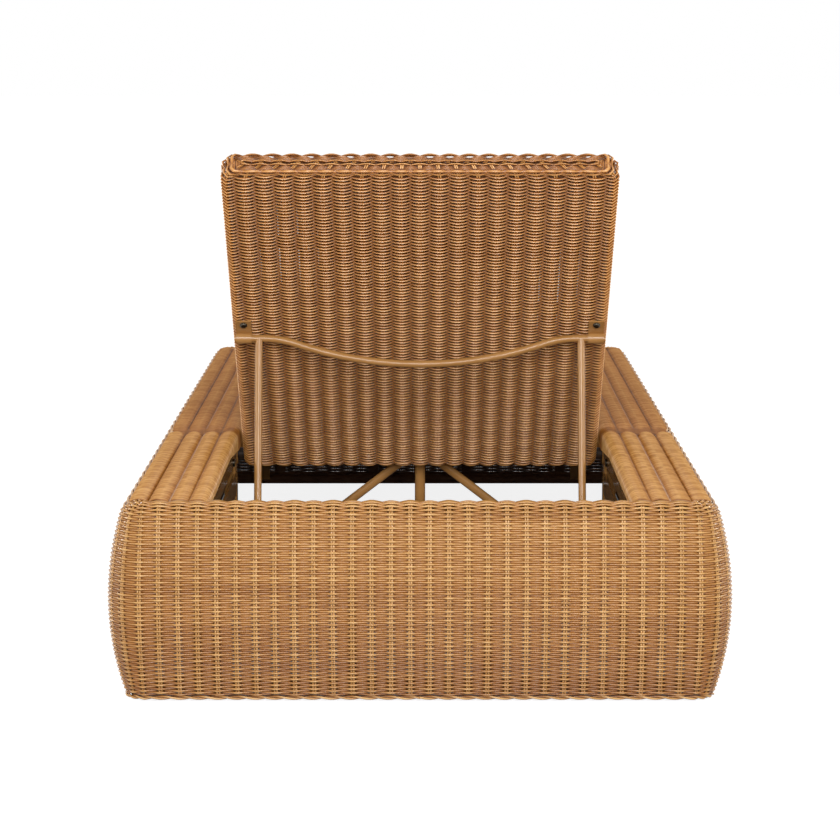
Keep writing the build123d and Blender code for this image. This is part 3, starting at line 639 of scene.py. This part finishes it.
def weave_rows(
    form, first, columns, start, height, pitch=stake_pitch, cuts=4, sides=strand_sides, wave=strand_wave
):
    """A plain weave of rows on a form, from a column and a height on."""
    rows = int(height / row_pitch) + 1
    mat = flat_rows(columns, rows, pitch, cuts, sides=sides)
    flat = points_of(mat)
    row = row_numbers(mat, rows)
    along = first * pitch + flat[:, 0]
    up = start + row * row_pitch
    lift = flat[:, 1] + wave * over_and_under(along / pitch - 0.5 + row, wall_sharpness(up))
    wrap(mat, form, along, lift, start + flat[:, 2])
    # Painted shade: strands are darker where they pass behind the stakes, between rows, and towards the
    # floor.
    depth = middle_depth + middle_depth * lift / (wave + strand_radius) - lower_wall_shade(up)
    depth = depth - row_shade * flank(flat[:, 2] - row * row_pitch, strand_radius)
    colour_by(mat, tones(along, row), along, depth)
    return mat


def weave_stakes(form, first, columns, start, height, pitch=stake_pitch, cuts=20, shine=stake_shine):
    """The pairs of stakes of a stretch of weave."""
    mat = flat_stakes(columns, height, pitch, cuts)
    flat = points_of(mat)
    stake = row_numbers(mat, 2 * columns)
    along = (first + 0.5) * pitch + flat[:, 0] - stake_spread / 2
    wrap(mat, form, along, flat[:, 1], start + flat[:, 2])
    # Painted shade and light: each stake is darker on its inner side and lighter near its tip.
    depth = shine + round_shine * flat[:, 1] / stake_radius
    depth += np.where(flat[:, 2] > height - tip_length, tip_shine, 0)
    colour_by(mat, random_tones.random(2 * columns)[stake], flat[:, 2], depth)
    return mat


stretch_columns = 34
end_rule, end_height = track(end_line)
side_rule, side_height = track(side_line)
stretches = [
    ("rear_wall", -0.5, end_rule, end_height, ["rear_wall_wicker"]),
    ("left_side_rear", 0.5, side_rule, side_height, ["left_side_wicker"]),
    ("left_side_front", 1.5, side_rule, side_height, ["left_side_wicker"]),
    ("front_wall", 2.5, end_rule, end_height, ["front_wall_wicker"]),
    ("right_side_front", 3.5, side_rule, side_height, ["right_side_wicker"]),
    ("right_side_rear", 4.5, side_rule, side_height, ["right_side_wicker"]),
]
for name, place, rule, height, nodes in stretches:
    form = base_form(rule)
    first = int(place * stretch_columns)
    cuts = 4 if name == "rear_wall" else 3
    sides = plain_sides if "side" in name else strand_sides
    rows = weave_rows(form, first, stretch_columns, 0, height, cuts=cuts, sides=sides)
    dress(rows, name + "_weavers", "base", wall_resin, nodes)
    stakes = weave_stakes(form, first, stretch_columns, 0, height)
    dress(stakes, name + "_stakes", "base", stake_resin)

# %% [markdown]
# ## The hanging lip
# Behind the head and foot walls the weave rolls over the rim and hangs down a short way inside. It spans
# the opening between the arms, so it has fewer columns than the wall.

# %% Hanging lips
lip_columns = 28
hanging_rule, hanging_height = track(hanging_line)
for name, place in (("rear", 0), ("front", stake_count // 2)):
    form = base_form(hanging_rule)
    rows = weave_rows(form, place - lip_columns // 2, lip_columns, row_pitch / 2, hanging_height - row_pitch)
    dress(rows, name + "_lip_weavers", "base", wall_resin)
    stakes = weave_stakes(form, place - lip_columns // 2, lip_columns, 0, hanging_height, cuts=2)
    dress(stakes, name + "_lip_stakes", "base", stake_resin)

# %% [markdown]
# ## Twisted borders
# A two-strand twist closes the weave along the floor and along the outer edge of each arm, where the
# upright weave of the side meets the lengthwise rows of the arm. Two strands lie opposite each other on a
# helix, so the border is made as two straight rows whose places are turned round each other.

# %% Twisted borders
twist_radius = 1.75 * MM
twist_length = 55 * MM
border_strand = 1.75 * MM
arm_border_inset = 2 * MM
twist_tone = 0.35
twist_contrast = 0.5
twist_shade = 0.42


def weave_twist(form, first, columns, cuts=7):
    """A two-strand twist along a form, with a darker and a paler strand."""
    mat = flat_rows(columns, 2, stake_pitch, cuts, radius=border_strand, pitch=0)
    flat = points_of(mat)
    row = row_numbers(mat, 2)
    along = first * stake_pitch + flat[:, 0]
    angle = 2 * pi * along / twist_length + pi * row
    lift = flat[:, 1] + twist_radius * np.cos(angle)
    wrap(mat, form, along, lift, flat[:, 2] + twist_radius * np.sin(angle))
    # Painted shade: each strand of the twist is darker on its inner side.
    depth = twist_shade + (1 - twist_shade) * lift / (twist_radius + border_strand)
    colour_by(mat, twist_tone + twist_contrast * row, along, depth)
    return mat


skirt_line = wall_line(border_radius, wall_foot - border_radius, border_turn)
skirt_form = base_form(track(skirt_line)[0])
skirt = weave_twist(skirt_form, 0, stake_count)
dress(skirt, "floor_border", "base", wall_resin, ["woven_borders"])

arm_border_line = arc(rim_centre, rim_radius - border_radius - arm_border_inset, border_turn, 90)
arm_border_form = base_form(track(arm_border_line)[0])
for name, place in (("left", 0.5), ("right", 3.5)):
    border = weave_twist(arm_border_form, int(place * stretch_columns), 2 * stretch_columns)
    dress(border, name + "_arm_border", "base", stake_resin, ["woven_borders"])

# %% [markdown]
# ## Arm tops
# The strands of an arm run across it, from the outer border over four lengthwise lobes to the inner
# rail. In front of the crease, where the seat begins, they roll over the rail and go on down to the deck.

# %% Arm form
arm_width = 136 * MM
inner_x = half_width - arm_width
inner_roll = 14.5 * MM
inner_rail_z = rim_height - inner_roll
valley_count = 3
lobe_depth = 6.5 * MM
lobe_roundness = 1.98
arm_strand = 1.62 * MM
arm_wave = 0.45 * MM
arm_inset = 2.3 * MM
crest_x = corner_x + rim_centre[0]
lobe_pitch = (crest_x - inner_x) / valley_count
crease_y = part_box("right_arm_rear_wicker")[1].y
crease_depth = 9 * MM
crease_bow = 45 * MM
dip_places = np.array([-24, -12, -4, 0, 8, 60]) * MM
dip_shares = [0, 0.15, 0.6, 1, 0.9, 0]
rail_cover = 14 * MM
shallow_share = 0.1
rail_wrap = 3.5 * MM
foot_rise_length = 200 * MM
inner_wall_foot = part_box("right_arm_front_wicker")[0].z
rear_wall_foot = inner_rail_z - rail_wrap


def valley_at(x):
    """How far down between two round lobes a place across the arm is, from 0 on a crest to 1."""
    step = np.clip((crest_x - x) / lobe_pitch, 0, valley_count)
    return 1 - np.sqrt(1 - (lobe_roundness * np.abs(step - np.round(step))) ** 2)


arm_steps = np.linspace(crest_x, inner_x, 90)[1:-1]
arm_start = border_turn + border_reach / 2
arm_points = np.vstack(
    [
        arc((crest_x, rim_centre_z), rim_radius - arm_inset, arm_start, 90),
        np.column_stack([arm_steps, rim_height - arm_inset - lobe_depth * valley_at(arm_steps)]),
        arc((inner_x, inner_rail_z), inner_roll - arm_inset, 90, 180),
        [(inner_x - inner_roll + arm_inset, inner_wall_foot + strand_radius)],
    ]
)
arm_rule, arm_length = track(arm_points)
print("arm", round(arm_length / MM), "mm across from the border to the deck")


def wrap_foot(y):
    """How low the weave hangs inside the rail: behind the crease it rises until it only rolls round."""
    return np.interp(y, [crease_y - foot_rise_length, crease_y], [rear_wall_foot, inner_wall_foot])


def past_crease(x, y):
    """How far in front of the crease a place on an arm is. The crease bows forward on each lobe."""
    return y - crease_y + crease_bow * valley_at(x)


def arm_form(side):
    """The middle surface of an arm top on one side, which dips into the crease."""

    def form(along, up):
        x, z = arm_rule(along if side > 0 else arm_length - along)
        drop = np.clip(inner_rail_z - z, 0, None) / (inner_rail_z - inner_wall_foot)
        z = np.maximum(z, inner_rail_z) - drop * (inner_rail_z - wrap_foot(up))
        dip = np.interp(past_crease(x, up), dip_places, dip_shares)
        over_rail = np.clip((x - inner_x - rail_cover) / rail_cover, shallow_share, 1)
        return np.column_stack([side * x, up, z - crease_depth * over_rail * dip])

    return form


# %% Arm weave
arm_columns = 11
arm_cuts = 3
arm_depth = 0.8
valley_shade = 0.35
arm_flank_shade = 0.3
# Painted shade along the arm, from behind the crease to in front of it.
shade_places = np.array([-30, -2, 6, 45]) * MM
shade_values = [0.0, 0.35, 0.35, 0.13]


def weave_arm(side, rear_y, rows):
    """The rows of strands across one stretch of an arm, with painted shade at the crease, in front of it and
    in the valleys.
    """
    pitch = arm_length / arm_columns
    mat = flat_rows(arm_columns, rows, pitch, arm_cuts, radius=arm_strand, sides=plain_sides)
    flat = points_of(mat)
    row = row_numbers(mat, rows)
    along = flat[:, 0]
    lift = flat[:, 1] + arm_wave * over_and_under(along / pitch + row)
    place = rear_y + flat[:, 2]
    wrap(mat, arm_form(side), along, lift, place)
    x = np.abs(points_of(mat)[:, 0])
    # Painted shade: darker in the crease and in front of it, in the valleys between lobes, and between rows.
    shade = np.interp(past_crease(x, place), shade_places, shade_values)
    between_shade = arm_flank_shade * flank(flat[:, 2] - row * row_pitch, arm_strand)
    colour_by(mat, tones(along, row), along, arm_depth - shade - valley_shade * valley_at(x) - between_shade)
    return mat


crease_row = int((crease_y + corner_y) / row_pitch)
last_row = int(2 * corner_y / row_pitch)
for side, word in ((-1, "left"), (1, "right")):
    for stretch, start, end in (("rear", 0, crease_row), ("front", crease_row, last_row)):
        top = weave_arm(side, (start + 0.5) * row_pitch - corner_y, end - start)
        name = f"{word}_arm_{stretch}"
        dress(top, name + "_weavers", "base", wall_resin, [name + "_wicker"])

# %% [markdown]
# ## Seat deck
# The deck is a plain weave too, but flatter. Its rows run across the seat, and behind the hinge it rolls
# over the crossbar and ends in a short hanging edge.

# %% Deck form and weave
deck_low, deck_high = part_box("seat_deck_wicker")
solid_weave = 7 * MM
fit_gap = 0.3 * MM
crossbar_radius = 11 * MM
deck_roll = solid_weave + fit_gap + crossbar_radius
deck_radius = deck_roll - weave_inset
roll_y = deck_low.y + deck_roll
roll_z = deck_high.z - deck_roll
deck_columns = 22
deck_width = deck_high.x - deck_low.x
deck_wave = 1.2 * MM
deck_cuts = 2
deck_stake_cuts = 40
deck_pitch = deck_width / deck_columns
roll_line = arc((roll_y, roll_z), deck_radius, 180, 90, 20)
deck_line = np.vstack(
    [
        [(roll_y - deck_radius, deck_low.z + strand_radius)],
        roll_line,
        [(deck_high.y - strand_radius, deck_high.z - weave_inset)],
    ]
)
deck_rule, deck_length = track(deck_line)


def deck_form(along, up):
    y, z = deck_rule(up)
    return np.column_stack([deck_width / 2 - along, y, z])


half_deck = row_pitch * (int(deck_length / row_pitch) // 2)
for name, start, node in (("rear", 0, ["seat_deck_wicker"]), ("front", half_deck, [])):
    height = min(half_deck, deck_length - start) - row_pitch
    rows = weave_rows(
        deck_form, 0, deck_columns, start, height, deck_pitch, deck_cuts, plain_sides, deck_wave
    )
    dress(rows, "seat_deck_" + name + "_weavers", "base", wall_resin, node)
deck_stakes = weave_stakes(deck_form, 0, deck_columns, 0, deck_length, pitch=deck_pitch, cuts=deck_stake_cuts)
dress(deck_stakes, "seat_deck_stakes", "base", stake_resin)

# %% [markdown]
# ## Backrest
# The backrest is woven round and round like a sock. Its weaver never ends: each turn climbs by one row and
# passes 41 pairs of stakes, an odd number, so the next turn passes behind where this one passed in front.
# The turns shrink round the foot and close over the head end. The panel is laid out flat, with the hinge
# at its origin and its head end at minus Y, and then leans back to its place at rest.

# %% Backrest sizes and rounds
hinge = next(joint for joint in frame["joints"] if joint["name"] == "backrest_recline")["pos_m"]
rest_lean = radians(45)
back_half_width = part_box("backrest_wicker")[1].x
back_length = 748 * MM
back_half = 22 * MM
edge_radius = 10 * MM
foot_corner = 24 * MM
head_corner = 24 * MM
head_edge = 9 * MM
back_columns = 41
face_columns = 20
back_wave = 3.5 * MM
back_strand = 1.88 * MM
tightness = 0.35
back_pitch = 3.55 * MM
back_inset = back_wave + back_strand + skin_gap

wide = back_half_width - back_inset
deep = back_half - back_inset
edge = edge_radius - back_inset
ring_points = np.vstack(
    [
        [(0, deep)],
        arc((wide - edge, deep - edge), edge, 90, 0, 8),
        arc((wide - edge, edge - deep), edge, 0, -90, 8),
        arc((edge - wide, edge - deep), edge, -90, -180, 8),
        arc((edge - wide, deep - edge), edge, 180, 90, 8),
        [(0, deep)],
    ]
)
ring_rule, ring_length = track(ring_points)
face = 2 * wide + (pi / 2 - 2) * edge
ring_stops = np.cumsum([0, face / 2, ring_length / 2 - face, face, ring_length / 2 - face, face / 2])
column_stops = back_columns / 2 + np.array([-20.5, -11, -10, 10, 11, 20.5])
column_width = face / face_columns
print("backrest stake pitch", round(column_width / MM, 2), "mm")

# %% [markdown]
# A round of the weaver lies at a place up the panel: round the foot, along the face, and then in over the
# end face of the head, where the rounds shrink evenly.

# %% Backrest form
foot_start = 12
head_y = back_inset - back_length
head_bend = head_edge - back_inset
back_line = np.vstack(
    [
        arc((0, 0), deep, foot_start, 90, 20),
        arc((head_y + head_bend, deep - head_bend), head_bend, 90, 180, 8),
        [(head_y, back_strand)],
    ]
)
back_rule, back_rise = track(back_line)
print("panel", round(back_rise / MM), "mm from its foot to the middle of its end")
end_face = deep - head_bend - back_strand


def side_reach(y):
    """Half the width of the panel at a place along it."""
    foot_bend = foot_corner - back_inset
    head_round = head_corner - back_inset
    past_foot = np.clip(y - (deep - foot_bend), 0, foot_bend)
    past_head = np.clip(head_y + head_round - y, 0, head_round)
    foot_loss = foot_bend - np.sqrt(foot_bend**2 - past_foot**2)
    head_loss = head_round - np.sqrt(head_round**2 - past_head**2)
    return wide - foot_loss - head_loss


def back_form(along, up):
    y, half = back_rule(up)
    column = np.mod(along / column_width, back_columns)
    x, z = ring_rule(np.interp(column, column_stops, ring_stops))
    end_loss = np.maximum(up - back_rise + end_face, 0)
    x = x * (side_reach(y) - end_loss) / wide
    z = z * half / deep
    turned_y = hinge[1] + y * cos(rest_lean) + z * sin(rest_lean)
    turned_z = hinge[2] - y * sin(rest_lean) + z * cos(rest_lean)
    return np.column_stack([x, turned_y, turned_z])


# %% [markdown]
# On the face the weaver lies in round arches, which makes the smiling arcs of the photograph. On the end
# face a few strands wrap the stakes from in front, and the rest pass behind and close the end.

# %% Backrest weave
back_cuts = 4
back_flank_shade = 0.5
arch_sharpness = -0.5
tuck_sharpness = 2.0


def plain(turns, row):
    """Over one stake and under the next, and the other way round in the next row."""
    return over_and_under(turns + row, arch_sharpness)


def behind(turns, row):
    """Behind every stake, and level with the cloth between them."""
    return -np.abs(over_and_under(turns, tuck_sharpness))


def before(turns, row):
    """In front of every stake, as a wrapped edge is."""
    return np.abs(over_and_under(turns))


def weave_back(places, passing, climb=0.0, radius=back_strand):
    """Rounds of the weaver at these places along the panel, passing the stakes in a given way."""
    rows = len(places)
    mat = flat_rows(back_columns, rows, column_width, back_cuts, radius=radius, pitch=0)
    flat = points_of(mat)
    row = row_numbers(mat, rows)
    along = flat[:, 0]
    turns = along / column_width
    swing = passing(turns - 0.5, row)
    lift = flat[:, 1] + back_wave * swing
    up = np.asarray(places)[row] + climb * turns / back_columns
    wrap(mat, back_form, along, lift, up + flat[:, 2] * (1 - tightness * swing))
    # Painted shade: strands that pass behind the stakes and the sides between rounds are darker.
    depth = middle_depth + middle_depth * lift / (back_wave + back_strand)
    colour_by(mat, tones(along, row), along, depth - back_flank_shade * flank(flat[:, 2], radius))
    return mat


# %% The backrest's face, end and stakes
end_reach = 21.5 * MM
end_strand = 1.6 * MM
face_stake_cuts = 40
# Painted shade: the backrest's stakes are painted darker than those of the walls.
face_stake_shine = 0.3
panel_places = np.arange(back_pitch / 2, back_rise - end_reach, back_pitch)
share = len(panel_places) // 3 // 2 * 2
groups = [panel_places[:share], panel_places[share : 2 * share], panel_places[2 * share :]]
for name, places in zip(("foot", "middle", "head"), groups):
    rows = weave_back(places, plain, climb=back_pitch)
    dress(rows, "backrest_" + name + "_weavers", "backrest", back_resin_painted_light, ["backrest_wicker"])
for name, distances, passing in (
    ("front", [16.6, 13.3, 1.6], before),
    ("backing", [20.0, 17.5, 14.8, 12.0, 9.4, 7.0, 4.4], behind),
):
    rows = weave_back(back_rise - np.array(distances) * MM, passing, radius=end_strand)
    dress(rows, "backrest_end_" + name, "backrest", back_resin_painted_light)
back_stakes = weave_stakes(
    back_form, 0, back_columns, 0, back_rise, column_width, face_stake_cuts, face_stake_shine
)
dress(back_stakes, "backrest_stakes", "backrest", back_resin_painted_light)

# %% [markdown]
# ## Floor, light and background
# The photograph has a white ground with a faint soft shadow. The floor glows for the camera and in
# reflections alone, so that it reaches white without any more light on the chaise, and its own shade still
# shows. Under the base it hardly glows, because a white floor would shine through the gaps of the weave.
# A strip near the foot end, which the photograph shows bright through the open base, glows again.


# %% Floor
floor_grey = "#A0A0A0"
floor_roughness = 0.9
floor_glow = 0.86
shade_glow = 0.09
floor_reach = 30
shade_x = half_width - 40 * MM
shade_y = half_length - 50 * MM
strip_start = 680 * MM
layer = 0.1 * MM
seen_rays = ("Is Camera Ray", "Is Glossy Ray", "Is Transmission Ray")


def share_of_rays(tree, *names):
    """One for these kinds of ray, and nothing for the others."""
    rays = add(tree, "ShaderNodeLightPath")
    share = 0.0
    for name in names:
        larger = add(tree, "ShaderNodeMath", {"operation": "MAXIMUM"}, {0: rays.outputs[name], 1: share})
        share = larger.outputs[0]
    return share


def floor_plane(name, low, high, lift, glow, *rays):
    """A stretch of matt white floor that glows for some kinds of ray."""
    deselect()
    middle = ((low[0] + high[0]) / 2, (low[1] + high[1]) / 2, lift)
    bpy.ops.mesh.primitive_plane_add(size=1, location=middle)
    plane = bpy.context.object
    plane.name = name
    plane.scale = (high[0] - low[0], high[1] - low[1], 1)
    bpy.ops.object.transform_apply(location=True, scale=True)
    material, tree, shader = new_material(name)
    shader.inputs["Base Color"].default_value = srgb(floor_grey)
    shader.inputs["Roughness"].default_value = floor_roughness
    share = share_of_rays(tree, *rays)
    strength = add(tree, "ShaderNodeMath", {"operation": "MULTIPLY"}, {0: share, 1: glow})
    light = add(tree, "ShaderNodeEmission", links={"Color": (1, 1, 1, 1), "Strength": strength.outputs[0]})
    both = add(tree, "ShaderNodeAddShader", links={0: shader.outputs[0], 1: light.outputs[0]})
    tree.links.new(both.outputs[0], tree.nodes["Material Output"].inputs["Surface"])
    plane.data.materials.append(material)
    print(name, "glows", glow)


camera_ray = seen_rays[0]
floor_plane("open_floor", (-floor_reach, -floor_reach), (floor_reach, floor_reach), 0, floor_glow, *seen_rays)
floor_plane("shaded_floor", (-shade_x, -shade_y), (shade_x, shade_y), layer, shade_glow, camera_ray)
floor_plane("bright_strip", (-corner_x, strip_start), (corner_x, shade_y), 2 * layer, floor_glow, camera_ray)

# %% [markdown]
# The sky is white where it is seen, and weak as a light. Soft lamps hang near the camera, above and at both
# sides, and two smaller ones beyond the backrest brighten its edges and the sides of the prop.

# %% World and lamps
sky_strength = 0.38
world = bpy.data.worlds.new("studio")
bpy.context.scene.world = world
world.use_nodes = True
sky = world.node_tree
seen = share_of_rays(sky, *seen_rays)
white = add(sky, "ShaderNodeBackground", links={"Color": (1, 1, 1, 1), "Strength": 1.0})
soft = sky.nodes["Background"]
soft.inputs["Color"].default_value = (1, 1, 1, 1)
soft.inputs["Strength"].default_value = sky_strength
sky_mix = add(sky, "ShaderNodeMixShader", links={0: seen, 1: soft.outputs[0], 2: white.outputs[0]})
sky.links.new(sky_mix.outputs[0], sky.nodes["World Output"].inputs["Surface"])


def lamp(name, place, aim, size, power):
    """A square soft lamp that points at a place."""
    data = bpy.data.lights.new(name, "AREA")
    data.size = size
    data.energy = power
    piece = bpy.data.objects.new(name, data)
    piece.location = place
    x, y, z = (a - b for a, b in zip(aim, place))
    piece.rotation_euler = (atan2(sqrt(x**2 + y**2), -z), 0, atan2(-x, y))
    bpy.context.scene.collection.objects.link(piece)
    print(name, power, "W")


middle = (0, -0.4, 0.3)
lamp("front_softbox", (0.1, -3.9, 1.6), middle, 1.8, 108)
lamp("top_softbox", (0.0, -1.4, 3.0), middle, 1.0, 4)
lamp("left_softbox", (-3.0, -1.8, 1.2), middle, 1.0, 22)
lamp("right_softbox", (3.0, -1.8, 1.2), middle, 1.0, 22)
lamp("left_edge_light", (-2.3, 1.0, 1.35), middle, 0.5, 30)
lamp("right_edge_light", (2.3, 1.0, 1.35), middle, 0.5, 30)

# %% Settings and the last lines
bpy.context.scene.view_settings.view_transform = "Standard"
